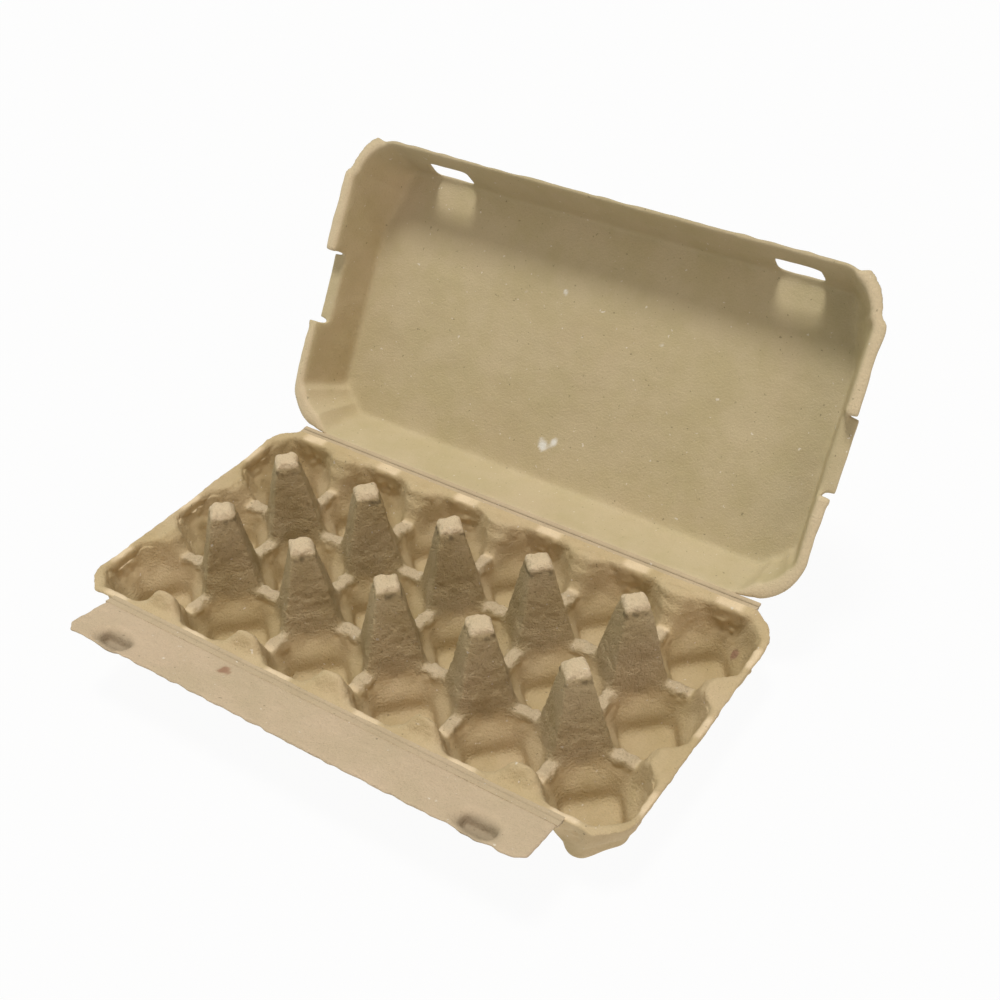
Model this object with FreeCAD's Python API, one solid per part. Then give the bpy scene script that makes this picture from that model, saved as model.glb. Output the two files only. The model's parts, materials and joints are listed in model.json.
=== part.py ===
import FreeCAD, Part
import math
import os

# Moulded-pulp egg carton, three rows of six cells, open, with its latch flap folded out.
# Millimetres. +X runs along the carton, +Y towards the lid hinge, +Z up.
# The origin is the middle of the 18 cup bottoms, on the table.

Vector = FreeCAD.Vector

ROOT2 = math.sqrt(2)
FAR = 1000.0

# Driving dimensions: the cell grid
ROWS = 3
COLUMNS = 6
PITCH = 47.5
WALL = 2.0
HALF_PITCH = PITCH / 2
ROW_EDGE = (ROWS - 1) / 2 * PITCH
COLUMN_EDGE = (COLUMNS - 1) / 2 * PITCH

# Heights above the table
SADDLE_TOP = 21.0
RIM_TOP = 34.6
POST_TOP = 63.0
FLOOR_TOP = WALL
BAND_TOP = SADDLE_TOP - 11.0
LEDGE_TOP = SADDLE_TOP - 3.0
END_RIM_DROP = 1.5
FRONT_RIB_TOP = RIM_TOP + 6.9
BACK_RIB_TOP = RIM_TOP + 1.6

# Half widths of a cell's octagon: across the flats, and across the diagonals
FLOOR_FLAT = 0.337 * PITCH
FLOOR_DIAGONAL = 0.272 * PITCH
BAND_DIAGONAL = 0.286 * PITCH
SADDLE_FLAT = HALF_PITCH - 3.35
SADDLE_DIAGONAL = 0.434 * PITCH

# Divider posts and the ribs of the outer walls
POST_CAP = 7.1
CAP_CHAMFER = 1.2
RIB_NOSE_AT_RIM = 10.0
RIB_NOSE_AT_SADDLE = 16.0
RIB_FOOT = 9.0
RIB_CAP = 4.6
FRONT_RIB_SLOPE = 5.5
BACK_RIB_SLOPE = 1.0

# Tray rim: how far its inner edge stands from the cell centres at the front, back and ends
FRONT_RIM_FLAT = HALF_PITCH - 1.15
BACK_RIM_FLAT = HALF_PITCH - 3.95
END_RIM_FLAT = HALF_PITCH - 3.35
END_RIM_WIDTH = 4.4
CORNER_RUN = 8.0

# The two fold lines, and the thin crease strip under each
HINGE_LINE = ROW_EDGE + HALF_PITCH + 3.85
LID_HINGE_HALF_LENGTH = COLUMN_EDGE + 11.65
LATCH_HINGE_HALF_LENGTH = COLUMN_EDGE + 0.85
CREASE = 1.0
AXIS_HEIGHT = RIM_TOP - 0.6

# Lid: its depth leaves a gap over the posts, and its far wall comes down outside the latch flap
LID_OPEN_DEG = 120.55
LID_DEPTH = POST_TOP + 0.5 - AXIS_HEIGHT
LID_RIM_GAP = 1.1
LID_NEAR = 2.4
LID_FAR = 2 * HINGE_LINE + 3.2
LID_SIDE = COLUMN_EDGE + 20.75
LID_HALF_LENGTH = LID_SIDE + 5.5
LID_NEAR_CORNER = (22.0, 19.0)
LID_FAR_CORNER = (14.5, 20.0)
FRONT_RIM_GAP = 1.9
NOTCH_START = HINGE_LINE - 18.1
NOTCH_END = HINGE_LINE + 17.4
NOTCH_DEPTH = 8.0

# The same at the lid's top panel
PANEL_NEAR = LID_NEAR + 10.5
PANEL_FAR = LID_FAR - 10.0
PANEL_SIDE = LID_SIDE - 8.5
PANEL_NEAR_CORNER = (13.5, 12.5)
PANEL_FAR_CORNER = (9.0, 31.0)

# Latch flap, its two buttons and the lid's two slots
LATCH_RISE_DEG = 10.7
LATCH_WALL = 1.8
LATCH_ABOVE_AXIS = 0.4
LATCH_HALF_LENGTH = COLUMN_EDGE + 0.55
LATCH_WIDTH = 28.5
LATCH_START = 1.9
LATCH_CORNER = 4.0
BUTTON_X = 2 * PITCH
BUTTON_HALF_LENGTH = 9.5
BUTTON_NEAR = 15.8
BUTTON_FAR = 26.4
BUTTON_HEIGHT = 4.8
BUTTON_DRAFT = 1.0
BUTTON_RAMP = 5.0
SLOT_CLEARANCE = 1.2
SLOT_TOP = 15.2
SLOT_BOTTOM = 27.6


# Small solids


def polyhedron(faces):
    """A closed solid from lists of corner points, one list per flat face."""
    sides = [Part.Face(Part.makePolygon(face + [face[0]])) for face in faces]
    solid = Part.Solid(Part.Shell(sides))
    if solid.Volume < 0:
        solid.reverse()
    return solid


def flat_faces(a, b, c, d):
    """The quad a-b-c-d as one flat face, or as two triangles if it is warped."""
    twist = (b - a).cross(c - a).dot(d - a)
    if abs(twist) < 1e-6:
        return [[a, b, c, d]]
    return [[a, b, c], [a, c, d]]


def stacked(rings):
    """A solid with flat sides through rings of corner points, lowest ring first."""
    faces = [list(reversed(rings[0])), list(rings[-1])]
    count = len(rings[0])
    for low, high in zip(rings, rings[1:]):
        for i in range(count):
            j = (i + 1) % count
            faces += flat_faces(low[i], low[j], high[j], high[i])
    return polyhedron(faces)


def prism(outline, low, high):
    """An upright prism over a list of (x, y) corners."""
    rings = [[Vector(x, y, z) for x, y in outline] for z in (low, high)]
    return stacked(rings)


def box(low, high):
    size = [b - a for a, b in zip(low, high)]
    return Part.makeBox(size[0], size[1], size[2], Vector(*low))


def moved(solid, x, y):
    copy = solid.copy()
    copy.translate(Vector(x, y, 0))
    return copy


def turned(solid, degrees):
    copy = solid.copy()
    copy.rotate(Vector(0, 0, 0), Vector(0, 0, 1), degrees)
    return copy


def mirrored_x(solid):
    return solid.mirror(Vector(0, 0, 0), Vector(1, 0, 0))


def save(name, solids):
    shape = solids[0] if len(solids) == 1 else Part.makeCompound(solids)
    shape.exportStep("parts/" + name + ".step")


# Cells


def diagonal_at(height):
    """A cell's half width across the diagonals, where the post faces rise."""
    top = PITCH / ROOT2 - POST_CAP / ROOT2
    rise = (height - SADDLE_TOP) / (POST_TOP - SADDLE_TOP)
    return SADDLE_DIAGONAL + (top - SADDLE_DIAGONAL) * rise


def flat_at(height):
    """A cell's half width across the flats, up to the saddles."""
    rise = (height - FLOOR_TOP) / (SADDLE_TOP - FLOOR_TOP)
    return FLOOR_FLAT + (SADDLE_FLAT - FLOOR_FLAT) * rise


def wall_at(height, rim_flat):
    """How far an outer wall stands from the cell centre, from the saddles up to the rim."""
    rise = (height - SADDLE_TOP) / (RIM_TOP - SADDLE_TOP)
    return SADDLE_FLAT + (rim_flat - SADDLE_FLAT) * rise


def octagon(height, flat, diagonal):
    side = ROOT2 * diagonal - flat
    corner = [(flat, -side), (flat, side), (side, flat), (-side, flat)]
    corner += [(-flat, side), (-flat, -side), (-side, -flat), (side, -flat)]
    return [Vector(x, y, height) for x, y in corner]


def cup_inside():
    levels = [
        (FLOOR_TOP, FLOOR_DIAGONAL),
        (BAND_TOP, BAND_DIAGONAL),
        (LEDGE_TOP, diagonal_at(LEDGE_TOP)),
        (SADDLE_TOP, diagonal_at(SADDLE_TOP)),
    ]
    rings = [octagon(z, flat_at(z), diagonal) for z, diagonal in levels]
    return stacked(rings)


def cup_outside():
    ledge_shift = 0.6 * WALL
    levels = [
        (0, FLOOR_FLAT, FLOOR_DIAGONAL),
        (FLOOR_TOP, flat_at(FLOOR_TOP) + WALL, FLOOR_DIAGONAL + WALL),
        (BAND_TOP - ledge_shift, flat_at(BAND_TOP) + WALL, BAND_DIAGONAL + WALL),
        (LEDGE_TOP - ledge_shift, flat_at(LEDGE_TOP) + WALL, diagonal_at(LEDGE_TOP) + WALL),
        (SADDLE_TOP, flat_at(SADDLE_TOP) + WALL, diagonal_at(SADDLE_TOP) + WALL),
    ]
    return stacked([octagon(*level) for level in levels])


def saddle_lip():
    """Half of the low saddle that joins a cell to its neighbour in +X.

    Its ends reach just under the feet of the posts and of the ribs.
    """
    width = max(ROOT2 * SADDLE_DIAGONAL - HALF_PITCH, HALF_PITCH - RIB_NOSE_AT_SADDLE) + 1.2
    inner = SADDLE_FLAT + WALL / 2
    outline = [(inner, -width), (HALF_PITCH, -width), (HALF_PITCH, width), (inner, width)]
    return prism(outline, SADDLE_TOP - WALL, SADDLE_TOP)


def cup(row, column):
    shape = cup_outside()
    neighbours = [(column < COLUMNS - 1, 0), (row < ROWS - 1, 90), (column > 0, 180), (row > 0, 270)]
    for present, degrees in neighbours:
        if present:
            shape = shape.fuse(turned(saddle_lip(), degrees))
    return shape.cut(cup_inside()).removeSplitter()


def cell_centre(row, column):
    x = (column - (COLUMNS - 1) / 2) * PITCH
    y = (row - (ROWS - 1) / 2) * PITCH
    return x, y


# Posts and ribs


def post_half_diagonal(height):
    return ROOT2 * (PITCH / ROOT2 - diagonal_at(height))


def diamond(height, reach):
    return [Vector(reach, 0, height), Vector(0, reach, height), Vector(-reach, 0, height), Vector(0, -reach, height)]


def pyramid(top, inset=0.0, low=SADDLE_TOP, cap_chamfer=0.0):
    """A square pyramid frustum whose edges lie over the saddles."""
    shoulder = top - cap_chamfer
    levels = [(low, post_half_diagonal(low)), (shoulder, post_half_diagonal(shoulder))]
    if cap_chamfer > 0:
        levels.append((top, post_half_diagonal(top) - cap_chamfer))
    return stacked([diamond(z, reach - inset * ROOT2) for z, reach in levels])


def post():
    hollow = pyramid(POST_TOP - WALL, inset=WALL, low=SADDLE_TOP - 1)
    return pyramid(POST_TOP, cap_chamfer=CAP_CHAMFER).cut(hollow)


def shoulder_cutters(top, rim_top):
    """What narrows a rib on both sides where it stands above the rim."""
    outline = [(RIB_FOOT, rim_top), (RIB_CAP, top), (RIB_CAP, top + 1), (PITCH, top + 1), (PITCH, rim_top)]
    cutters = []
    for side in (-1, 1):
        rings = [[Vector(side * x, y, z) for x, z in outline] for y in (-PITCH, PITCH)]
        cutters.append(stacked(rings))
    return cutters


def rib(top, rim_top, rim_edge, slope_back):
    """A half post that stiffens an outer wall. It grows towards -Y from the wall line."""
    foot = -rim_edge
    nose_low = -RIB_NOSE_AT_SADDLE
    nose_rim = -RIB_NOSE_AT_RIM
    drop = (nose_rim - nose_low) / (rim_top - SADDLE_TOP)
    nose_top = min(nose_rim + drop * (top - rim_top), foot - slope_back - 1)

    def profile(shrink, low):
        under_rim = rim_top - WALL - shrink
        return [
            (nose_low + shrink - drop * (SADDLE_TOP - low), low),
            (nose_top + shrink - drop * shrink, top - shrink),
            (foot - slope_back - shrink, top - shrink),
            (foot - shrink, rim_top - shrink),
            (foot - shrink, under_rim),
            (foot + WALL - shrink, under_rim),
            (foot + WALL - shrink, low),
        ]

    def swept(corners):
        ring = [[Vector(x, y, z) for y, z in corners] for x in (-PITCH, PITCH)]
        return stacked(ring)

    outside = pyramid(top).common(swept(profile(0.0, SADDLE_TOP)))
    if top > rim_top:
        outside = outside.cut(shoulder_cutters(top, rim_top))
    hollow = pyramid(top, inset=WALL, low=SADDLE_TOP - 1)
    return outside.cut(hollow.common(swept(profile(WALL, SADDLE_TOP - 1))))


def wall_ribs(top, rim_top, rim_flat, slope_back, places, degrees):
    shape = rib(top, rim_top, HALF_PITCH - rim_flat, slope_back)
    return [moved(turned(shape, degrees), x, y) for x, y in places]


# Outer walls above the saddles


def wall_side(height, rim_flat):
    """Half the width of one cell's outer wall."""
    return ROOT2 * diagonal_at(height) - wall_at(height, rim_flat)


def wall_plate(top, rim_flat):
    """One cell's outer wall on its +Y side, from the saddle level to the rim."""
    rings = []
    for z in (SADDLE_TOP, top):
        flat = wall_at(z, rim_flat)
        side = wall_side(z, rim_flat)
        ring = [(side, flat), (side - WALL, flat + WALL), (WALL - side, flat + WALL), (-side, flat)]
        rings.append([Vector(x, y, z) for x, y in ring])
    return stacked(rings)


def corner_plate(top, side_flat):
    """The diagonal wall at the outer corner of a corner cell, on its +X +Y side."""
    rings = []
    reach = WALL * ROOT2
    for z in (SADDLE_TOP, top):
        x = wall_at(z, END_RIM_FLAT) + WALL
        y = wall_at(z, side_flat) + WALL
        line = ROOT2 * diagonal_at(z)
        ring = [(x, line - x), (x, line - x + reach), (line - y + reach, y), (line - y, y)]
        rings.append([Vector(px, py, z) for px, py in ring])
    return stacked(rings)


# Tray rim


END_EDGE = COLUMN_EDGE + END_RIM_FLAT
END_RIM_TOP = RIM_TOP - END_RIM_DROP


def strip_end(rim_flat):
    return COLUMN_EDGE + wall_side(RIM_TOP - WALL, rim_flat)


def side_strip(sign, rim_flat):
    inner = sign * (ROW_EDGE + rim_flat)
    outer = sign * (HINGE_LINE - CREASE / 2)
    low = (-strip_end(rim_flat), min(inner, outer), RIM_TOP - WALL)
    high = (strip_end(rim_flat), max(inner, outer), RIM_TOP)
    return box(low, high)


def end_rim():
    """The rim round one end, from the front strip round the end wall to the back strip."""
    outer_x = END_EDGE + END_RIM_WIDTH
    outer_y = HINGE_LINE - CREASE / 2
    cut = ROW_EDGE + wall_side(END_RIM_TOP, END_RIM_FLAT)
    diagonal = END_EDGE + cut

    def quarter(sign, rim_flat):
        start = strip_end(rim_flat)
        corners = [
            (END_EDGE, cut),
            (start, diagonal - start),
            (start, outer_y),
            (outer_x - 1.5 * CORNER_RUN, outer_y),
            (outer_x - 0.4 * CORNER_RUN, outer_y - 0.9 * CORNER_RUN),
            (outer_x, outer_y - 1.9 * CORNER_RUN),
        ]
        return [(x, sign * y) for x, y in corners]

    outline = quarter(1, BACK_RIM_FLAT) + list(reversed(quarter(-1, FRONT_RIM_FLAT)))
    return prism(outline, END_RIM_TOP - WALL, END_RIM_TOP)


def crease(y, half_length):
    low = (-half_length, y - CREASE / 2, AXIS_HEIGHT - CREASE / 2)
    high = (half_length, y + CREASE / 2, AXIS_HEIGHT + CREASE / 2)
    return box(low, high)


# Lid, drawn closed in its own (x, v, t): v away from the hinge, t up from the axis plane


def lid_point(x, v, t):
    return Vector(x, HINGE_LINE - v, AXIS_HEIGHT + t)


def opened(solid):
    copy = solid.copy()
    copy.rotate(Vector(0, HINGE_LINE, AXIS_HEIGHT), Vector(1, 0, 0), -LID_OPEN_DEG)
    return copy


def lid_corners(near, far, side, near_corner, far_corner):
    """The eight (x, v) corners of the lid's cavity, from the near right round to the near left."""
    half = [
        (side - near_corner[0], near),
        (side, near + near_corner[1]),
        (side, far - far_corner[1]),
        (side - far_corner[0], far),
    ]
    return half + [(-x, v) for x, v in reversed(half)]


LID_AT_RIM = lid_corners(LID_NEAR, LID_FAR, LID_SIDE, LID_NEAR_CORNER, LID_FAR_CORNER)
LID_AT_PANEL = lid_corners(PANEL_NEAR, PANEL_FAR, PANEL_SIDE, PANEL_NEAR_CORNER, PANEL_FAR_CORNER)


def lid_shift(index):
    """How far a corner of the outside stands from the same corner of the cavity."""
    places = [((a[0] + b[0]) / 2, (a[1] + b[1]) / 2) for a, b in zip(LID_AT_RIM, LID_AT_PANEL)]
    before = places[index - 1]
    here = places[index]
    after = places[(index + 1) % 8]
    first = math.atan2(here[1] - before[1], here[0] - before[0])
    second = math.atan2(after[1] - here[1], after[0] - here[0])
    middle = first + math.remainder(second - first, 2 * math.pi) / 2
    reach = WALL / math.cos(middle - first)
    return reach * math.sin(middle), -reach * math.cos(middle)


def lid_outline(t, outside=False):
    """The lid's eight (x, v) corners at depth t, of its cavity or of its outside."""
    share = (t - LID_RIM_GAP) / (LID_DEPTH - LID_RIM_GAP)
    outline = []
    for index, (low, high) in enumerate(zip(LID_AT_RIM, LID_AT_PANEL)):
        shift = lid_shift(index) if outside else (0, 0)
        outline.append(tuple(a + (b - a) * share + c for a, b, c in zip(low, high, shift)))
    return outline


def lid_side(index, top, bottom):
    """One of the lid's eight sloping sides, between depths top and bottom.

    A corner side is warped. Both its faces are creased from corner i at the top to corner j at the bottom.
    """
    i = index
    j = (index + 1) % 8
    rings = []
    for t in (top, bottom):
        inner = lid_outline(t)
        outer = lid_outline(t, True)
        ring = [inner[i], inner[j], outer[j], outer[i]]
        rings.append([lid_point(x, v, t) for x, v in ring])
    low, high = rings
    faces = [list(reversed(low)), list(high)]
    faces += flat_faces(low[0], low[1], high[1], high[0])
    faces += flat_faces(low[1], low[2], high[2], high[1])
    faces += flat_faces(low[3], high[3], high[2], low[2])
    faces += flat_faces(low[3], low[0], high[0], high[3])
    return polyhedron(faces)


def lid_box(low, high):
    corners = [lid_point(*low), lid_point(*high)]
    low = [min(a, b) for a, b in zip(corners[0], corners[1])]
    high = [max(a, b) for a, b in zip(corners[0], corners[1])]
    return box(low, high)


def slot_cutters():
    reach = BUTTON_HALF_LENGTH + SLOT_CLEARANCE
    middle = (LID_NEAR + LID_FAR) / 2
    return [lid_box((x - reach, middle, SLOT_TOP), (x + reach, FAR, SLOT_BOTTOM)) for x in (-BUTTON_X, BUTTON_X)]


def lid_panel():
    rings = [[lid_point(x, v, t) for x, v in lid_outline(LID_DEPTH, True)] for t in (LID_DEPTH, LID_DEPTH + WALL)]
    return stacked(rings)


def lid_walls():
    """The lid's sides by name. The left corners are mirror images of the right ones."""
    sides = {"right_near_corner": 0, "right_wall": 1, "right_far_corner": 2, "front_wall": 3}
    sides.update({"left_wall": 5, "back_wall": 7})
    walls = {}
    for name, index in sides.items():
        top = FRONT_RIM_GAP if name == "front_wall" else LID_RIM_GAP
        shape = lid_side(index, top, LID_DEPTH)
        if name == "front_wall":
            for cutter in slot_cutters():
                shape = shape.cut(cutter)
        if name in ("right_wall", "left_wall"):
            low = (-FAR, NOTCH_START, -FAR)
            high = (FAR, NOTCH_END, LID_RIM_GAP + NOTCH_DEPTH)
            shape = shape.cut(lid_box(low, high))
        walls[name] = shape
    return walls


def lid_rim():
    """The narrow flange outside the right wall: before, in and beyond the notch."""
    top = LID_RIM_GAP
    bottom = LID_RIM_GAP + WALL
    levels = (top, LID_DEPTH)
    inside = stacked([[lid_point(x, v, t) for x, v in lid_outline(t, True)] for t in levels])
    walls = lid_outline(bottom, True)
    near_corner, side_near, side_far, far_corner = walls[:4]
    full = LID_HALF_LENGTH

    def plate(outline, low, high):
        rings = [[lid_point(x, v, t) for x, v in outline] for t in (low, high)]
        return stacked(rings)

    side_x = side_near[0]
    near = [
        near_corner,
        (near_corner[0] + 10, near_corner[1]),
        (full - 1, side_near[1] - 4),
        (full, NOTCH_START),
        (side_x, NOTCH_START),
        side_near,
    ]
    far = [
        (side_x, NOTCH_END),
        (full, NOTCH_END),
        (full, side_far[1] + 2),
        (far_corner[0] + 5, far_corner[1]),
        far_corner,
        side_far,
    ]
    notch_top = LID_RIM_GAP + NOTCH_DEPTH
    notch_wall = lid_outline(notch_top + WALL, True)[1][0]
    notch = [(notch_wall, NOTCH_START), (full, NOTCH_START), (full, NOTCH_END), (notch_wall, NOTCH_END)]
    plates = [plate(near, top, bottom), plate(far, top, bottom), plate(notch, notch_top, notch_top + WALL)]
    beside = [lid_side(index, top, LID_DEPTH) for index in (0, 1, 2)]
    return [shape.cut(inside).cut(beside) for shape in plates]


# Latch flap, drawn flat outwards in (x, w, n): w away from its hinge, n up


def latch_point(x, w, n):
    return Vector(x, -HINGE_LINE - w, AXIS_HEIGHT + n)


def raised(solid):
    copy = solid.copy()
    copy.rotate(Vector(0, -HINGE_LINE, AXIS_HEIGHT), Vector(1, 0, 0), -LATCH_RISE_DEG)
    return copy


def latch_block(outline, low, high):
    rings = [[latch_point(x, w, n) for x, w in outline] for n in (low, high)]
    return stacked(rings)


def button_ring(n, inset=0.0):
    """The outline at height n of a button that tapers downwards, with a ramp on its far side."""
    depth = (LATCH_ABOVE_AXIS - n) / (LATCH_WALL + BUTTON_HEIGHT)
    side = BUTTON_HALF_LENGTH - BUTTON_DRAFT * depth - inset
    near = BUTTON_NEAR + BUTTON_DRAFT * depth + inset
    far = BUTTON_FAR - BUTTON_RAMP * depth - inset
    return [latch_point(x, w, n) for x, w in ((-side, near), (side, near), (side, far), (-side, far))]


def latch_under():
    return LATCH_ABOVE_AXIS - LATCH_WALL


def button_outside():
    return stacked([button_ring(latch_under() - BUTTON_HEIGHT), button_ring(LATCH_ABOVE_AXIS)])


def button():
    """A hollow tapered button, open towards the inside of the carton."""
    floor = latch_under() - BUTTON_HEIGHT + LATCH_WALL
    hollow = stacked([button_ring(floor, LATCH_WALL), button_ring(LATCH_ABOVE_AXIS, LATCH_WALL)])
    return button_outside().cut(hollow)


def latch_panel():
    x = LATCH_HALF_LENGTH
    cut = LATCH_CORNER
    outline = [
        (-x, LATCH_START),
        (x, LATCH_START),
        (x, LATCH_WIDTH - cut),
        (x - cut, LATCH_WIDTH),
        (cut - x, LATCH_WIDTH),
        (-x, LATCH_WIDTH - cut),
    ]
    shape = latch_block(outline, latch_under(), LATCH_ABOVE_AXIS)
    for place in (-BUTTON_X, BUTTON_X):
        shape = shape.cut(moved(button_outside(), place, 0))
    return shape


def make_tray():
    for row in range(ROWS):
        for column in range(COLUMNS):
            x, y = cell_centre(row, column)
            save("cup_row%d_col%d" % (row + 1, column + 1), [moved(cup(row, column), x, y)])

    columns_between = [cell_centre(0, c)[0] + HALF_PITCH for c in range(COLUMNS - 1)]
    rows_between = [cell_centre(r, 0)[1] + HALF_PITCH for r in range(ROWS - 1)]
    for i, y in enumerate(rows_between):
        for j, x in enumerate(columns_between):
            save("post_row%d_%d" % (i + 1, j + 1), [moved(post(), x, y)])

    front_y = -(ROW_EDGE + HALF_PITCH)
    end_x = COLUMN_EDGE + HALF_PITCH
    front = [(x, front_y) for x in columns_between]
    back = [(x, -front_y) for x in columns_between]
    save("front_ribs", wall_ribs(FRONT_RIB_TOP, RIM_TOP, FRONT_RIM_FLAT, FRONT_RIB_SLOPE, front, 180))
    save("back_ribs", wall_ribs(BACK_RIB_TOP, RIM_TOP, BACK_RIM_FLAT, BACK_RIB_SLOPE, back, 0))
    for name, sign, degrees in (("left", -1, 90), ("right", 1, -90)):
        places = [(sign * end_x, y) for y in rows_between]
        save(name + "_end_ribs", wall_ribs(END_RIM_TOP, END_RIM_TOP, END_RIM_FLAT, 0.0, places, degrees))

    side_top = RIM_TOP - WALL
    end_top = END_RIM_TOP - WALL
    for name, row, degrees, flat in (("front", 0, 180, FRONT_RIM_FLAT), ("back", ROWS - 1, 0, BACK_RIM_FLAT)):
        plate = turned(wall_plate(side_top, flat), degrees)
        places = [cell_centre(row, c) for c in range(COLUMNS)]
        save(name + "_wall", [moved(plate, x, y) for x, y in places])
    for name, column, degrees in (("left", 0, 90), ("right", COLUMNS - 1, -90)):
        plate = turned(wall_plate(end_top, END_RIM_FLAT), degrees)
        places = [cell_centre(r, column) for r in range(ROWS)]
        save(name + "_end_wall", [moved(plate, x, y) for x, y in places])
    back_corner = moved(corner_plate(end_top, BACK_RIM_FLAT), COLUMN_EDGE, ROW_EDGE)
    front_corner = moved(corner_plate(end_top, FRONT_RIM_FLAT), COLUMN_EDGE, ROW_EDGE)
    front_corner = front_corner.mirror(Vector(0, 0, 0), Vector(0, 1, 0))
    right_corners = [back_corner, front_corner]
    save("corner_walls", right_corners + [mirrored_x(shape) for shape in right_corners])

    save("front_rim", [side_strip(-1, FRONT_RIM_FLAT)])
    save("back_rim", [side_strip(1, BACK_RIM_FLAT)])
    save("right_end_rim", [end_rim()])
    save("left_end_rim", [mirrored_x(end_rim())])
    save("lid_crease", [crease(HINGE_LINE, LID_HINGE_HALF_LENGTH)])
    save("latch_crease", [crease(-HINGE_LINE, LATCH_HINGE_HALF_LENGTH)])


def make_lid():
    save("lid_panel", [opened(lid_panel())])
    walls = lid_walls()
    for name in ("front_wall", "back_wall", "left_wall", "right_wall"):
        save("lid_" + name, [opened(walls[name])])
    corners = [walls["right_near_corner"], walls["right_far_corner"]]
    corners += [mirrored_x(shape) for shape in corners]
    save("lid_corners", [opened(shape) for shape in corners])
    save("lid_right_rim", [opened(shape) for shape in lid_rim()])
    save("lid_left_rim", [opened(mirrored_x(shape)) for shape in lid_rim()])


def make_latch():
    save("latch_panel", [raised(latch_panel())])
    save("latch_button_left", [raised(moved(button(), -BUTTON_X, 0))])
    save("latch_button_right", [raised(moved(button(), BUTTON_X, 0))])


os.makedirs("parts", exist_ok=True)
make_tray()
make_lid()
make_latch()
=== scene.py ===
"""An open moulded-pulp egg carton: a tray of cells, a hinged lid and a latch flap, on a white floor.

Each body's CAD nodes are fused into one pulp skin, softened, crumpled, and given a pulp material.
Lengths are in metres, except in names that end in _MM and in the crumpling and shaping, which work
in mm.
"""

import json
import math

import bmesh
import bpy
import numpy as np
from mathutils import Matrix, Vector


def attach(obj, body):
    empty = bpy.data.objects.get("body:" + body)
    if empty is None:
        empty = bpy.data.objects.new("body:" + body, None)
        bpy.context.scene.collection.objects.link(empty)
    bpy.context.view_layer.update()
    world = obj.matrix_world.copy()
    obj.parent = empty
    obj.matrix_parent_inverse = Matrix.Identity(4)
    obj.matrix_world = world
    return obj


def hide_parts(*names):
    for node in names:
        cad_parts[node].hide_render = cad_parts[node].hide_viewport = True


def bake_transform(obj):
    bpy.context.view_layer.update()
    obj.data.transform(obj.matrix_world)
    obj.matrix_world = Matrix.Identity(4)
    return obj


MM = 0.001

# The carton's driving dimensions, as the CAD frame has them
PITCH_MM = 47.5
SADDLE_MM = 21.0
POST_TOP_MM = 63.0
LID_HINGE = Vector((0.0, 75.1, 34.0)) * MM
LATCH_HINGE = Vector((0.0, -75.1, 34.0)) * MM
LID_LEAN = math.radians(59.45)
LATCH_RISE = math.radians(10.7)
LID_SIDE_MM = 145.0
BUTTON_X_MM = 95.0
BUTTON_MIDDLE_MM = 21.5

# The lid's corners near the hinge, then those far from it. Each row gives how far the corner's centre
# is from the hinge, which way the corner faces, how far it reaches from that centre, and the length
# that the CAD chamfer cuts off.
LID_CORNERS_MM = ((26.4, -1, 26.0, 17.0), (129.4, 1, 26.0, 17.5))

# How far the skins move away from the CAD shapes
RIDGE_CLIMB_MM = 3.6
SADDLE_HUMP_MM = 1.3
POST_LEAN_MM = 0.9
CAP_DROP_MM = 0.7
CAP_CLEARANCE_MM = 0.45
END_CUP_TUCK_MM = 3.2
END_RIM_SAG_MM = 2.2
LIP_AT_SIDES_MM = 1.1
LIP_AT_FRONT_MM = 1.2
DENT_MM = 1.9
DENT_HALF_WIDTH_MM = 12.5
DENT_HALF_DEPTH_MM = 8.5

# Fineness of the pulp skins
TRAY_VOXEL = 1.0 * MM
LID_VOXEL = 1.05 * MM
LATCH_VOXEL = 0.9 * MM

# The thin strips across the creases
LID_FOLD_HALF_LENGTH = 0.1304
LATCH_FOLD_HALF_LENGTH = 0.1194
LID_FOLD_THICKNESS = 1.2 * MM
LATCH_FOLD_THICKNESS = 1.1 * MM
FOLD_STATIONS = 160

# Each pulp's pale, dark and warm tones
TRAY_TONES = (0.59, 0.465, 0.275), (0.50, 0.385, 0.205), (0.57, 0.435, 0.275)
LID_TONES = (0.55, 0.46, 0.29), (0.50, 0.42, 0.245), (0.54, 0.43, 0.28)
LATCH_TONES = (0.60, 0.475, 0.33), (0.54, 0.435, 0.29), (0.59, 0.455, 0.32)
CREASE_TONES = (0.56, 0.45, 0.30), (0.50, 0.40, 0.26), (0.55, 0.43, 0.30)

# Colours of the marks on the pulp. The first is partly wear and partly a painted highlight on the tops
# that face up.
WORN_AND_LIT = (0.80, 0.65, 0.45)
FLECK = (0.80, 0.76, 0.68)
STAIN = (0.36, 0.22, 0.14)
CHALK = (0.78, 0.76, 0.70)

# The camera and the floor
LENS_MM = 51.92
SENSOR_MM = 36.0
CAMERA_PLACE = Vector((0.3008, -0.3844, 0.4674))
CAMERA_RIGHT = Vector((0.8369, 0.5472, -0.0146))
CAMERA_BACK = Vector((0.4397, -0.6562, 0.6132))
FLOOR_REACH = 4.0

# The side of the noise's table of random values
LATTICE = 32

# Too small to matter, but safe to divide by
TINY = 1e-6

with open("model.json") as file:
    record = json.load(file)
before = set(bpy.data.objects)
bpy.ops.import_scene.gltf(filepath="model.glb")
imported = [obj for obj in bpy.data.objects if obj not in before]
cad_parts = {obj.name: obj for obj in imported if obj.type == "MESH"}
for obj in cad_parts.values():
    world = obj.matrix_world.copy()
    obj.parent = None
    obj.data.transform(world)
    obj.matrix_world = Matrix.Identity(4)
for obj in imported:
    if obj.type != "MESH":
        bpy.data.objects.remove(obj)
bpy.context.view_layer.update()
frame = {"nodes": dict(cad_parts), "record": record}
nodes = frame["nodes"]
bodies = frame["record"]["behaviour"]["bodies"]


# Meshes


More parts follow.
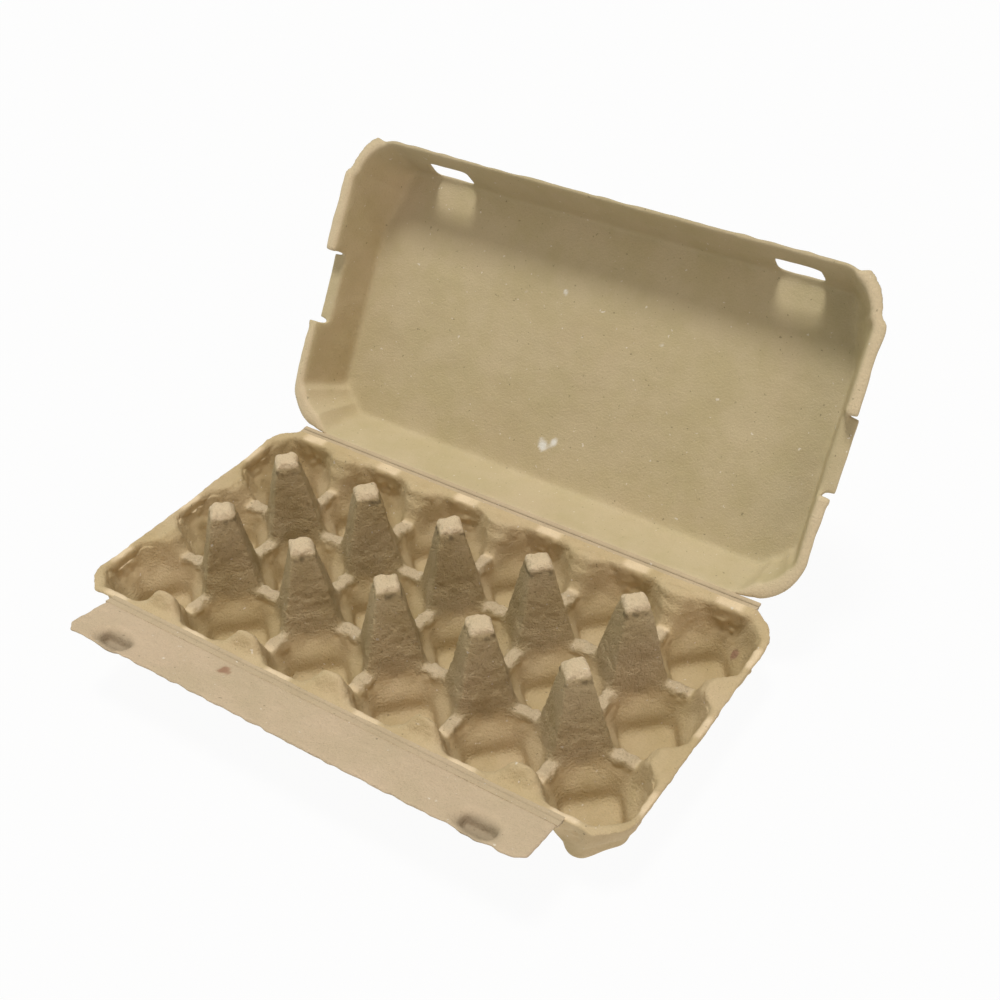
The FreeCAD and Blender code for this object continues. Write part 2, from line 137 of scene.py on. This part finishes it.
def fused(name, node_names, voxel, tilt=0.0):
    """One closed skin round these CAD nodes.

    tilt is the part's slope about X. The skin is made with the part level, so that its flat sides
    stay flat.
    """
    work = bmesh.new()
    for node in node_names:
        work.from_mesh(nodes[node].data)
    work.transform(Matrix.Rotation(-tilt, 4, "X"))
    mesh = bpy.data.meshes.new(name + "_rough")
    work.to_mesh(mesh)
    work.free()
    rough = bpy.data.objects.new(name + "_rough", mesh)
    bpy.context.scene.collection.objects.link(rough)
    skin = rough.modifiers.new("skin", "REMESH")
    skin.mode = "VOXEL"
    skin.voxel_size = voxel
    bpy.context.view_layer.update()
    depsgraph = bpy.context.evaluated_depsgraph_get()
    fine = bpy.data.meshes.new_from_object(rough.evaluated_get(depsgraph))
    bpy.data.objects.remove(rough)
    fine.transform(Matrix.Rotation(tilt, 4, "X"))
    piece = bpy.data.objects.new(name, fine)
    fine.name = name
    bpy.context.scene.collection.objects.link(piece)
    return piece


def points_of(mesh):
    flat = np.empty(len(mesh.vertices) * 3, np.float32)
    mesh.vertices.foreach_get("co", flat)
    return flat.reshape(-1, 3).astype(np.float64)


def set_points(mesh, points):
    mesh.vertices.foreach_set("co", points.astype(np.float32).ravel())
    mesh.update()


def normals_of(mesh):
    flat = np.empty(len(mesh.vertices) * 3, np.float32)
    mesh.vertex_normals.foreach_get("vector", flat)
    return flat.reshape(-1, 3).astype(np.float64)


def softened(mesh, rounds, share=None):
    """Rounds the sharp corners by moving each vertex towards its neighbours.

    share has one number per vertex: how much of each step it takes.
    """
    edges = np.empty(len(mesh.edges) * 2, np.int32)
    mesh.edges.foreach_get("vertices", edges)
    first, second = edges.reshape(-1, 2).T
    count = len(mesh.vertices)
    links = np.bincount(first, minlength=count) + np.bincount(second, minlength=count)
    points = points_of(mesh)
    step = 0.5 if share is None else 0.5 * share[:, None]
    for _ in range(rounds):
        mean = np.empty_like(points)
        for axis in range(3):
            total = np.bincount(first, points[second, axis], count)
            total += np.bincount(second, points[first, axis], count)
            mean[:, axis] = total / np.maximum(links, 1)
        points += step * (mean - points)
    set_points(mesh, points)


# Noise


def lump(points, size, seed):
    """Smooth random values from -1 to 1 at these points, with lumps of this size."""
    table = np.random.default_rng(seed).uniform(-1, 1, (LATTICE, LATTICE, LATTICE))
    place = points / size
    low = np.floor(place).astype(int)
    share = place - low
    share = share * share * (3 - 2 * share)
    value = np.zeros(len(points))
    for corner in range(8):
        step = np.array([corner & 1, (corner >> 1) & 1, (corner >> 2) & 1])
        weight = np.prod(np.where(step, share, 1 - share), axis=1)
        x, y, z = ((low + step) % LATTICE).T
        value += weight * table[x, y, z]
    return value


def ramp(value, start, end):
    """0 before start, 1 after end, and smooth between."""
    share = np.clip((value - start) / (end - start), 0, 1)
    return share * share * (3 - 2 * share)


# Crumpling and shaping. Ramps over heights and distances are in mm.


def round_parts(points):
    """1 on the cups, less on the walls above them, and 0 on the posts and the rims' edges."""
    height = points[:, 2] / MM
    along = np.abs(points[:, 0]) / MM
    across = np.abs(points[:, 1]) / MM
    cups = 1 - ramp(height, SADDLE_MM - 6, SADDLE_MM + 2)
    walls = 0.35 * np.maximum(ramp(along, 120, 132), ramp(across, 50, 60))
    edges = np.maximum(ramp(along, 136, 141), ramp(across, 66, 71)) * ramp(height, 24, 28)
    return np.maximum(cups, walls) * (1 - edges)


def saddle_distance(points):
    """How far in mm each point is from the nearest saddle's middle, along its ridge and aside."""
    place = points[:, :2] / (PITCH_MM * MM)
    whole = np.abs(place - np.round(place)) * PITCH_MM
    half = PITCH_MM / 2 - whole
    between_columns = whole[:, 0] < half[:, 1]
    along = np.where(between_columns, whole[:, 1], half[:, 0])
    aside = np.where(between_columns, whole[:, 0], half[:, 1])
    return along, aside


def raise_ridges(points, height):
    """Makes each saddle a short hump, on a ridge that climbs to the posts on both sides."""
    along, aside = saddle_distance(points)
    ridge = (1 - ramp(aside, 5, 9)) * ramp(height, 13, 19)
    climb = ramp(along, 4.5, 12) * (1 - ramp(height, 24, 33))
    hump = (1 - ramp(along, 3, 7)) * (1 - ramp(height, 25, 28))
    points[:, 2] += ridge * (RIDGE_CLIMB_MM * climb + SADDLE_HUMP_MM * hump) * MM
    return ridge, hump


def tray_push(points, height, above, cap, humps):
    """How far out of its surface each point of the tray moves, in mm."""
    rim = ramp(height, 29, 32) * (1 - ramp(height, 40, 43))
    rough = 0.10 + 0.30 * above + 0.75 * cap + 0.15 * rim + humps
    push = rough * (0.5 * lump(points, 2.0 * MM, 1) + 0.3 * lump(points, 3.6 * MM, 2))
    push += 0.5 * lump(points, 17 * MM, 3)
    low_parts = 1 - ramp(height, 0.5, 2.0)
    across = np.abs(points[:, 1]) / MM
    return push * ((1 - 0.8 * low_parts) * (1 - 0.85 * ramp(across, 69, 73)))


def lean_posts(moved, points, height):
    """Makes each post lean and settle a little on its own."""
    apart_in_noise = 7.3
    cell = np.floor(points[:, :2] / (PITCH_MM * MM) + np.array([0.5, 0.0]))
    place = np.stack([cell[:, 0], cell[:, 1], np.zeros(len(cell))], axis=1) * apart_in_noise
    lift = ramp(height, SADDLE_MM, POST_TOP_MM)
    for axis, seed in ((0, 11), (1, 12)):
        moved[:, axis] += lift * lump(place + 0.5, 1.0, seed) * POST_LEAN_MM * MM
    inner = ramp(height, 44, 60)
    moved[:, 2] += inner * (lump(place + 0.25, 1.0, 13) - 0.5) * POST_LEAN_MM * MM


def fit_caps(moved, height):
    """Keeps every cap clear of the closed lid."""
    moved[:, 2] -= ramp(height, 50, 60) * CAP_DROP_MM * MM
    moved[:, 2] = np.minimum(moved[:, 2], (POST_TOP_MM - CAP_CLEARANCE_MM) * MM)


def shape_ends(moved, points, height):
    """Tapers the end cups inwards below the rim, and hangs the end rims lower than the side rims."""
    tuck = ramp(np.abs(moved[:, 0]) / MM, 121, 134) * (1 - ramp(height, 9, 27))
    moved[:, 0] -= np.sign(moved[:, 0]) * tuck * END_CUP_TUCK_MM * MM
    along = np.abs(points[:, 0]) / MM
    across = np.abs(points[:, 1]) / MM
    end = ramp(along, 128, 139) * (1 - ramp(across, 50, 70)) * ramp(height, 24, 30)
    moved[:, 2] -= end * END_RIM_SAG_MM * MM


def crumple_tray(piece):
    """Rounds and roughens the tray, and marks how coarse each part of it is.

    Returns each point's height in mm before it is crumpled, and its share in a saddle's hump.
    """
    mesh = piece.data
    softened(mesh, 7)
    softened(mesh, 26, round_parts(points_of(mesh)))
    points = points_of(mesh)
    height = points[:, 2] / MM
    ridge, hump = raise_ridges(points, height)
    set_points(mesh, points)

    above = ramp(height, SADDLE_MM - 4, SADDLE_MM)
    cap = ramp(height, POST_TOP_MM - 5, POST_TOP_MM - 1)
    push = tray_push(points, height, above, cap, ridge * hump)
    moved = points + normals_of(mesh) * (push * MM)[:, None]
    lean_posts(moved, points, height)
    fit_caps(moved, height)
    shape_ends(moved, points, height)
    set_points(mesh, moved)

    humps = ridge * (1 - ramp(saddle_distance(points)[0], 4.5, 8))
    posts = above * (1 - ramp(np.abs(points[:, 0]) / MM, 122, 126))
    posts *= 1 - ramp(np.abs(points[:, 1]) / MM, 49, 54)
    attribute(mesh, "coarse", np.clip(0.30 + 0.70 * posts - 0.45 * cap - 0.3 * humps, 0, 1))
    return height, humps


def crumple_sheet(piece, amount, rounds, fine=0.10):
    """Crumples the lid or the flap. amount is in mm, and fine is the share of it in small lumps."""
    mesh = piece.data
    softened(mesh, rounds)
    points = points_of(mesh)
    normals = normals_of(mesh)
    push = fine * lump(points, 2.6 * MM, 21) + 0.22 * lump(points, 9 * MM, 22)
    push += 0.5 * lump(points, 45 * MM, 23)
    hinge = np.array(LID_HINGE if points[:, 1].mean() > 0 else LATCH_HINGE)
    from_hinge = np.linalg.norm((points - hinge)[:, 1:], axis=1) / MM
    push *= 0.15 + 0.85 * ramp(from_hinge, 2, 8)
    set_points(mesh, points + normals * (push * amount * MM)[:, None])


def lid_coordinates(points):
    """Distance from the lid hinge along the lid, and depth into the lid, in mm."""
    y = (points[:, 1] - LID_HINGE.y) / MM
    z = (points[:, 2] - LID_HINGE.z) / MM
    v = y * math.cos(LID_LEAN) + z * math.sin(LID_LEAN)
    t = y * math.sin(LID_LEAN) - z * math.cos(LID_LEAN)
    return v, t


def rounded_corner(along, across, reach, chamfer):
    """What to multiply distances from a corner's centre by, to turn its chamfer into an arc."""
    length = np.maximum(np.hypot(along, across), TINY)
    cosine, sine = along / length, across / length
    outline = np.minimum(reach / np.maximum(cosine, TINY), reach / np.maximum(sine, TINY))
    outline = np.minimum(outline, (2 * reach - chamfer) / np.maximum(cosine + sine, TINY))
    return np.where((along > 0) & (across > 0), reach / outline, 1.0)


def round_corners(side, v):
    """The lid's distances aside and from its hinge, with its corners turned into arcs."""
    new_side, new_v = side.copy(), v.copy()
    for centre_v, sign, reach, chamfer in LID_CORNERS_MM:
        along = side - (LID_SIDE_MM - reach)
        across = sign * (v - centre_v)
        scale = rounded_corner(along, across, reach, chamfer)
        new_side = np.where(scale != 1, LID_SIDE_MM - reach + along * scale, new_side)
        new_v = np.where(scale != 1, centre_v + sign * across * scale, new_v)
    return new_side, new_v


def shape_lid(piece):
    """Rounds the lid's corners, and thickens its rim outwards into a soft lip.

    Returns the lid coordinates from before that.
    """
    points = points_of(piece.data)
    v, t = lid_coordinates(points)
    x = points[:, 0] / MM
    new_side, new_v = round_corners(np.abs(x), v)
    normals = normals_of(piece.data)
    out_v = normals[:, 1] * math.cos(LID_LEAN) + normals[:, 2] * math.sin(LID_LEAN)
    out_side = normals[:, 0] * np.sign(x)
    lip = (1 - ramp(t, 1.5, 6)) * (0.8 + 0.5 * lump(points, 6 * MM, 26))
    new_side += LIP_AT_SIDES_MM * lip * ramp(out_side, 0.1, 0.7)
    new_v += LIP_AT_FRONT_MM * lip * ramp(out_v, 0.1, 0.7) * ramp(v, 120, 140)
    points[:, 0] = np.sign(x) * new_side * MM
    shift = (new_v - v) * MM
    points[:, 1] += shift * math.cos(LID_LEAN)
    points[:, 2] += shift * math.sin(LID_LEAN)
    set_points(piece.data, points)
    softened(piece.data, 3)
    return v, t


def latch_coordinates(points):
    """Distance from the latch hinge along the flap, and height above its plane, in mm."""
    y = (LATCH_HINGE.y - points[:, 1]) / MM
    z = (points[:, 2] - LATCH_HINGE.z) / MM
    w = y * math.cos(LATCH_RISE) + z * math.sin(LATCH_RISE)
    n = -y * math.sin(LATCH_RISE) + z * math.cos(LATCH_RISE)
    return w, n


def shape_latch(piece):
    """Widens the hollow of each button into a soft dent, and frays the flap's free edge.

    Returns each point's share of the painted shade in its dent.
    """
    points = points_of(piece.data)
    w, n = latch_coordinates(points)
    x = points[:, 0] / MM
    aside = (np.abs(x) - BUTTON_X_MM) / DENT_HALF_WIDTH_MM
    ahead = (w - BUTTON_MIDDLE_MM) / DENT_HALF_DEPTH_MM
    reach = np.sqrt(aside ** 2 + ahead ** 2)
    dent = DENT_MM * (1 - ramp(reach, 0.45, 1.1)) * ramp(n, -6, -3)
    fray = ramp(w, 24, 28) * (0.45 * lump(points, 3.5 * MM, 24) + 0.4 * lump(points, 11 * MM, 25))
    outwards = np.array([0.0, -math.cos(LATCH_RISE), math.sin(LATCH_RISE)])
    upwards = np.array([0.0, math.sin(LATCH_RISE), math.cos(LATCH_RISE)])
    points += (fray[:, None] * outwards - dent[:, None] * upwards) * MM
    set_points(piece.data, points)
    return (1 - ramp(reach, 0.75, 1.05)) * (1 - ramp(n - dent, -2.2, 0.2))


def attribute(mesh, name, values):
    layer = mesh.attributes.new(name, "FLOAT", "POINT")
    layer.data.foreach_set("value", values.astype(np.float32))


def spotted(piece, name, spots):
    """Marks irregular spots, each (centre, radius) in metres, in the attribute of this name."""
    points = points_of(piece.data)
    ragged = 1 + 0.45 * lump(points, 2.0 * MM, 41)
    share = np.zeros(len(points))
    for centre, radius in spots:
        distance = np.linalg.norm(points - np.array(centre), axis=1) / radius
        share = np.maximum(share, 1 - ramp(distance * ragged, 0.5, 1.1))
    attribute(piece.data, name, share)


def finished(piece, body, material, replaced):
    """Gives the piece its material, hides the CAD parts it stands in for, and hangs it on its body."""
    piece.data.polygons.foreach_set("use_smooth", [True] * len(piece.data.polygons))
    piece.data.materials.clear()
    piece.data.materials.append(material)
    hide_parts(*replaced)
    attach(piece, body)


# Materials


class PulpGraph:
    """A material's node tree, and the kinds of node that pulp is made from."""

    def __init__(self, tree):
        self.tree = tree
        self.place = tree.nodes.new("ShaderNodeTexCoord").outputs["Object"]

    def put(self, value, socket):
        """Sets the socket to a number or colour, or links it to a node's output."""
        if isinstance(value, float):
            socket.default_value = value
        elif isinstance(value, tuple):
            socket.default_value = (*value, 1)
        else:
            self.tree.links.new(value, socket)

    def share_of(self, name):
        node = self.tree.nodes.new("ShaderNodeAttribute")
        node.attribute_name = name
        return node.outputs["Fac"]

    def noise(self, scale, detail, roughness=0.6):
        node = self.tree.nodes.new("ShaderNodeTexNoise")
        node.inputs["Scale"].default_value = scale
        node.inputs["Detail"].default_value = detail
        node.inputs["Roughness"].default_value = roughness
        self.put(self.place, node.inputs["Vector"])
        return node.outputs["Fac"]

    def stepped(self, value, low, high):
        node = self.tree.nodes.new("ShaderNodeMapRange")
        node.interpolation_type = "SMOOTHSTEP"
        node.inputs["From Min"].default_value = low
        node.inputs["From Max"].default_value = high
        self.put(value, node.inputs["Value"])
        return node.outputs["Result"]

    def multiplied(self, first, second):
        node = self.tree.nodes.new("ShaderNodeMath")
        node.operation = "MULTIPLY"
        self.put(first, node.inputs[0])
        self.put(second, node.inputs[1])
        return node.outputs[0]

    def mixed(self, factor, first, second):
        node = self.tree.nodes.new("ShaderNodeMix")
        node.data_type = "RGBA"
        self.put(factor, node.inputs["Factor"])
        self.put(first, node.inputs["A"])
        self.put(second, node.inputs["B"])
        return node.outputs["Result"]

    def bumped(self, height, strength, distance, below=None):
        node = self.tree.nodes.new("ShaderNodeBump")
        node.inputs["Strength"].default_value = strength
        node.inputs["Distance"].default_value = distance
        self.put(height, node.inputs["Height"])
        if below:
            self.put(below, node.inputs["Normal"])
        return node.outputs["Normal"]


def pulp_tone(graph, tones, coarse, worn_and_lit):
    """Cloudy tone with grain, painted shade in the crumbs' hollows, dark fibres and white flecks, then
    the skin's own marks.
    """
    pale, dark, warm = tones

    def darker(share):
        return tuple(share * c for c in dark)

    def masked(share, scale, detail, roughness, low, high):
        """Up to this share where the noise of this scale rises past low, and all of it past high."""
        return graph.multiplied(graph.stepped(graph.noise(scale, detail, roughness), low, high), share)

    cloud = graph.stepped(graph.noise(38, 5), 0.32, 0.68)
    tone = graph.mixed(cloud, dark, pale)
    tone = graph.mixed(masked(0.45, 17, 3, 0.6, 0.45, 0.75), tone, warm)
    if worn_and_lit:
        # Paler tops: partly wear, partly a painted highlight where they face up
        tone = graph.mixed(graph.share_of("worn_and_lit"), tone, worn_and_lit)
        # Painted shade in the splits below each cap's brow
        tone = graph.mixed(graph.multiplied(graph.share_of("shaded_crack"), 0.75), tone, darker(0.3))
    grain = masked(0.20, 1500, 3, 0.7, 0.35, 0.7)
    tone = graph.mixed(grain, tone, darker(0.72))
    # Painted shade in the hollows between the crumbs, from the noise that raises them
    crevice_shade = masked(0.32 * coarse, 900, 4, 0.65, 0.45, 0.37)
    if worn_and_lit:
        crevice_shade = graph.multiplied(crevice_shade, graph.share_of("coarse"))
    tone = graph.mixed(crevice_shade, tone, darker(0.5))
    fibre = masked(0.6, 520, 2, 0.5, 0.70, 0.76)
    tone = graph.mixed(fibre, tone, darker(0.38))
    fleck = masked(0.55, 430, 2, 0.5, 0.715, 0.76)
    tone = graph.mixed(fleck, tone, FLECK)
    tone = graph.mixed(graph.share_of("shade"), tone, darker(0.35))
    tone = graph.mixed(graph.share_of("stain"), tone, STAIN)
    return graph.mixed(graph.share_of("chalk"), tone, CHALK)


def pulp_relief(graph, coarse, worn_and_lit):
    """A felted surface under millimetre-size crumbs."""
    felt = graph.bumped(graph.noise(1600, 5, 0.7), 0.35, 0.0004)
    crumbs = graph.noise(900, 4, 0.65)
    if worn_and_lit:
        crumbs = graph.multiplied(crumbs, graph.share_of("coarse"))
    return graph.bumped(crumbs, coarse, 0.0028, felt)


def pulp(name, tones, coarse, worn_and_lit=None):
    """Recycled pulp, matt and felted.

    coarse is the strength of the crumbs in its surface. With a paler colour for wear and painted
    highlight, the skin's own attributes say where it is paler, where its splits take painted shade,
    and where it is coarse.
    """
    material = bpy.data.materials.new(name)
    material.use_nodes = True
    shader = material.node_tree.nodes["Principled BSDF"]
    shader.inputs["Roughness"].default_value = 0.92
    shader.inputs["Specular IOR Level"].default_value = 0.18
    graph = PulpGraph(material.node_tree)
    graph.put(pulp_tone(graph, tones, coarse, worn_and_lit), shader.inputs["Base Color"])
    graph.put(pulp_relief(graph, coarse, worn_and_lit), shader.inputs["Normal"])
    return material


# The folds, thin strips across the hinges


def fold_section(centre, thickness):
    """The outline of a strip of this thickness whose middle follows these points."""
    section = []
    for side in (1, -1):
        ring = []
        for i, point in enumerate(centre):
            along = centre[min(i + 1, len(centre) - 1)] - centre[max(i - 1, 0)]
            across = Vector((0, -along.z, along.y)).normalized()
            ring.append(point + across * side * thickness / 2)
        section += ring if side == 1 else ring[::-1]
    return section


def extruded(name, section, half_length):
    """A closed mesh along X with this section."""
    work = bmesh.new()
    rings = []
    for i in range(FOLD_STATIONS + 1):
        x = half_length * (2 * i / FOLD_STATIONS - 1)
        rings.append([work.verts.new(Vector((x, 0, 0)) + p) for p in section])
    count = len(section)
    for one, two in zip(rings, rings[1:]):
        for i in range(count):
            j = (i + 1) % count
            work.faces.new((one[i], one[j], two[j], two[i]))
    work.faces.new(rings[0])
    work.faces.new(rings[-1][::-1])
    bmesh.ops.recalc_face_normals(work, faces=work.faces)
    mesh = bpy.data.meshes.new(name)
    work.to_mesh(mesh)
    work.free()
    return mesh


def fold(name, path, half_length, thickness, material, node):
    """A thin strip along X whose section follows these (y, z, shade) points.

    Its section runs from the tray onto the lid or the flap, and it stands for this CAD node.
    """
    centre = [Vector((0, y, z)) for y, z, _ in path]
    shades = [shade for _, _, shade in path]
    mesh = extruded(name, fold_section(centre, thickness), half_length)
    mesh.materials.append(material)
    attribute(mesh, "shade", np.array((shades + shades[::-1]) * (FOLD_STATIONS + 1)))
    piece = bpy.data.objects.new(name, mesh)
    bpy.context.scene.collection.objects.link(piece)
    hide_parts(node)
    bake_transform(piece)


def tray_lip(hinge, inwards):
    """The tray's side of a fold: flush with the rim, then down into the crease's thin line of painted
    shade.
    """
    steps = ((2.2, -0.15, 0), (0.75, -0.05, 0), (0.35, -0.15, 0.15), (0.0, -0.6, 1))
    return [(hinge.y + inwards * back * MM, hinge.z + up * MM, shade) for back, up, shade in steps]


def lid_place(v, t):
    """(y, z) of a point of the open lid, v from the hinge and t deep."""
    y = LID_HINGE.y + v * math.cos(LID_LEAN) + t * math.sin(LID_LEAN)
    z = LID_HINGE.z + v * math.sin(LID_LEAN) - t * math.cos(LID_LEAN)
    return y, z


def latch_place(w, n):
    """(y, z) of a point of the flap, w from the hinge and n above the flap's plane."""
    y = LATCH_HINGE.y - w * math.cos(LATCH_RISE) + n * math.sin(LATCH_RISE)
    z = LATCH_HINGE.z + w * math.sin(LATCH_RISE) + n * math.cos(LATCH_RISE)
    return y, z


# The pieces


def make_tray():
    replaced = [n for n in bodies["tray"] if not n.endswith("crease")]
    tray = fused("tray_pulp", replaced, TRAY_VOXEL)
    height, humps = crumple_tray(tray)
    points = points_of(tray.data)
    up = normals_of(tray.data)[:, 2]
    # Paler tops: wear on the caps, rims and saddle humps, partly a painted highlight where they face
    # up
    cap = ramp(height, POST_TOP_MM - 3.5, POST_TOP_MM - 1.5)
    rims = ramp(height, 31.5, 33.5) * ramp(up, 0.4, 0.8) * (1 - ramp(height, 43, 45))
    lit_hump_tops = ramp(up, 0.6, 0.9) * humps
    worn_and_lit = np.clip(0.9 * cap + 0.1 * rims + 0.75 * lit_hump_tops, 0, 1)
    attribute(tray.data, "worn_and_lit", worn_and_lit * (0.8 + 0.2 * lump(points, 4 * MM, 31)))
    # Painted shade: ragged dark splits in a ring below each cap's brow
    brow = ramp(height, POST_TOP_MM - 7, POST_TOP_MM - 4.5)
    brow *= 1 - ramp(height, POST_TOP_MM - 4, POST_TOP_MM - 2.5)
    attribute(tray.data, "shaded_crack", brow * ramp(lump(points, 1.9 * MM, 32), -0.1, 0.5))
    spotted(tray, "stain", [((0.1270, 0.0620, 0.0145), 3.0 * MM)])
    spotted(tray, "chalk", [((0.0535, 0.0380, 0.0185), 2.0 * MM)])
    finished(tray, "tray", tray_material, replaced)


def make_lid():
    lid = fused("lid_pulp", bodies["lid"], LID_VOXEL, LID_LEAN)
    crumple_sheet(lid, 1.0, 9)
    v, t = shape_lid(lid)
    edge = 1 - ramp(t, 1.2, 2.6)
    attribute(lid.data, "shade", 0.16 * ramp(v, 138, 146) * (1 - edge))
    attribute(lid.data, "worn_and_lit", 0.5 * edge)
    attribute(lid.data, "coarse", 0.5 + 0.5 * edge)
    panel_depth = 28.4 * MM
    chalk = ((-8, 31, 3.2), (-3, 34, 2.2), (-19, 107, 1.5), (-41, 101, 1.3), (38, 96, 1.2))
    spots = [((x * MM, *lid_place(away * MM, panel_depth)), size * MM) for x, away, size in chalk]
    spotted(lid, "chalk", spots)
    finished(lid, "lid", lid_material, bodies["lid"])


def make_latch():
    latch = fused("latch_pulp", bodies["latch_flap"], LATCH_VOXEL, -LATCH_RISE)
    crumple_sheet(latch, 0.8, 8, 0.28)
    hollow = shape_latch(latch)
    spotted(latch, "stain", [((-0.0430, *latch_place(9.0 * MM, 0.4 * MM)), 3.0 * MM)])
    attribute(latch.data, "shade", hollow * 0.45)
    finished(latch, "latch_flap", latch_material, bodies["latch_flap"])


def make_folds():
    lid_steps = ((0.35, 0.4, 0.3), (0.7, 0.9, 0), (1.4, 2.2, 0))
    lid_side = [(*lid_place(v * MM, t * MM), shade) for v, t, shade in lid_steps]
    fold("lid_fold", tray_lip(LID_HINGE, -1) + lid_side, LID_FOLD_HALF_LENGTH,
         LID_FOLD_THICKNESS, crease_material, "lid_crease")
    latch_steps = ((0.4, -0.1, 0.2), (0.9, 0, 0), (3.4, -0.1, 0))
    latch_side = [(*latch_place(w * MM, n * MM), shade) for w, n, shade in latch_steps]
    fold("latch_fold", tray_lip(LATCH_HINGE, 1) + latch_side, LATCH_FOLD_HALF_LENGTH,
         LATCH_FOLD_THICKNESS, crease_material, "latch_crease")


tray_material = pulp("pulp_tray", TRAY_TONES, 0.9, WORN_AND_LIT)
lid_material = pulp("pulp_lid", LID_TONES, 0.3, WORN_AND_LIT)
latch_material = pulp("pulp_latch", LATCH_TONES, 0.4)
crease_material = pulp("pulp_crease", CREASE_TONES, 0.4)
make_tray()
make_lid()
make_latch()
make_folds()


# Floor, light and camera


def white_floor():
    material = bpy.data.materials.new("floor")
    material.use_nodes = True
    tree = material.node_tree
    tree.nodes.clear()
    glow = tree.nodes.new("ShaderNodeEmission")
    glow.inputs["Strength"].default_value = 0.98
    matte = tree.nodes.new("ShaderNodeBsdfDiffuse")
    matte.inputs["Color"].default_value = (0.95, 0.95, 0.95, 1)
    mix = tree.nodes.new("ShaderNodeMixShader")
    mix.inputs["Fac"].default_value = 0.03
    out = tree.nodes.new("ShaderNodeOutputMaterial")
    tree.links.new(glow.outputs[0], mix.inputs[1])
    tree.links.new(matte.outputs[0], mix.inputs[2])
    tree.links.new(mix.outputs[0], out.inputs["Surface"])
    mesh = bpy.data.meshes.new("floor")
    reach = FLOOR_REACH
    corners = [(-reach, -reach, 0), (reach, -reach, 0), (reach, reach, 0), (-reach, reach, 0)]
    mesh.from_pydata(corners, [], [(0, 1, 2, 3)])
    mesh.materials.append(material)
    floor = bpy.data.objects.new("floor", mesh)
    bpy.context.scene.collection.objects.link(floor)


def sun(direction, strength, softness, colour):
    """A sun in this direction, softness degrees wide."""
    lamp = bpy.data.lights.new("sun", "SUN")
    lamp.energy = strength
    lamp.angle = math.radians(softness)
    lamp.color = colour
    holder = bpy.data.objects.new("sun", lamp)
    holder.rotation_euler = Vector(direction).to_track_quat("Z", "Y").to_euler()
    bpy.context.scene.collection.objects.link(holder)


def studio_world():
    world = bpy.data.worlds.new("studio")
    world.use_nodes = True
    background = world.node_tree.nodes["Background"]
    background.inputs["Color"].default_value = (1.0, 0.97, 0.90, 1)
    background.inputs["Strength"].default_value = 0.31
    bpy.context.scene.world = world


def camera():
    lens = bpy.data.cameras.new("camera")
    lens.sensor_width = SENSOR_MM
    lens.lens = LENS_MM
    holder = bpy.data.objects.new("camera", lens)
    back = CAMERA_BACK.normalized()
    upward = back.cross(CAMERA_RIGHT.normalized()).normalized()
    turn = Matrix((upward.cross(back), upward, back)).transposed()
    holder.matrix_world = Matrix.Translation(CAMERA_PLACE) @ turn.to_4x4()
    bpy.context.scene.collection.objects.link(holder)
    bpy.context.scene.camera = holder


white_floor()
sun((-0.10, -0.04, 1.0), 2.34, 14, (1.0, 0.99, 0.97))
sun((0.9, -0.5, 0.45), 0.60, 40, (1.0, 0.76, 0.64))
sun((-0.9, -0.3, 0.40), 0.24, 40, (0.90, 1.0, 0.70))
studio_world()
camera()
bpy.context.scene.view_settings.view_transform = "Standard"
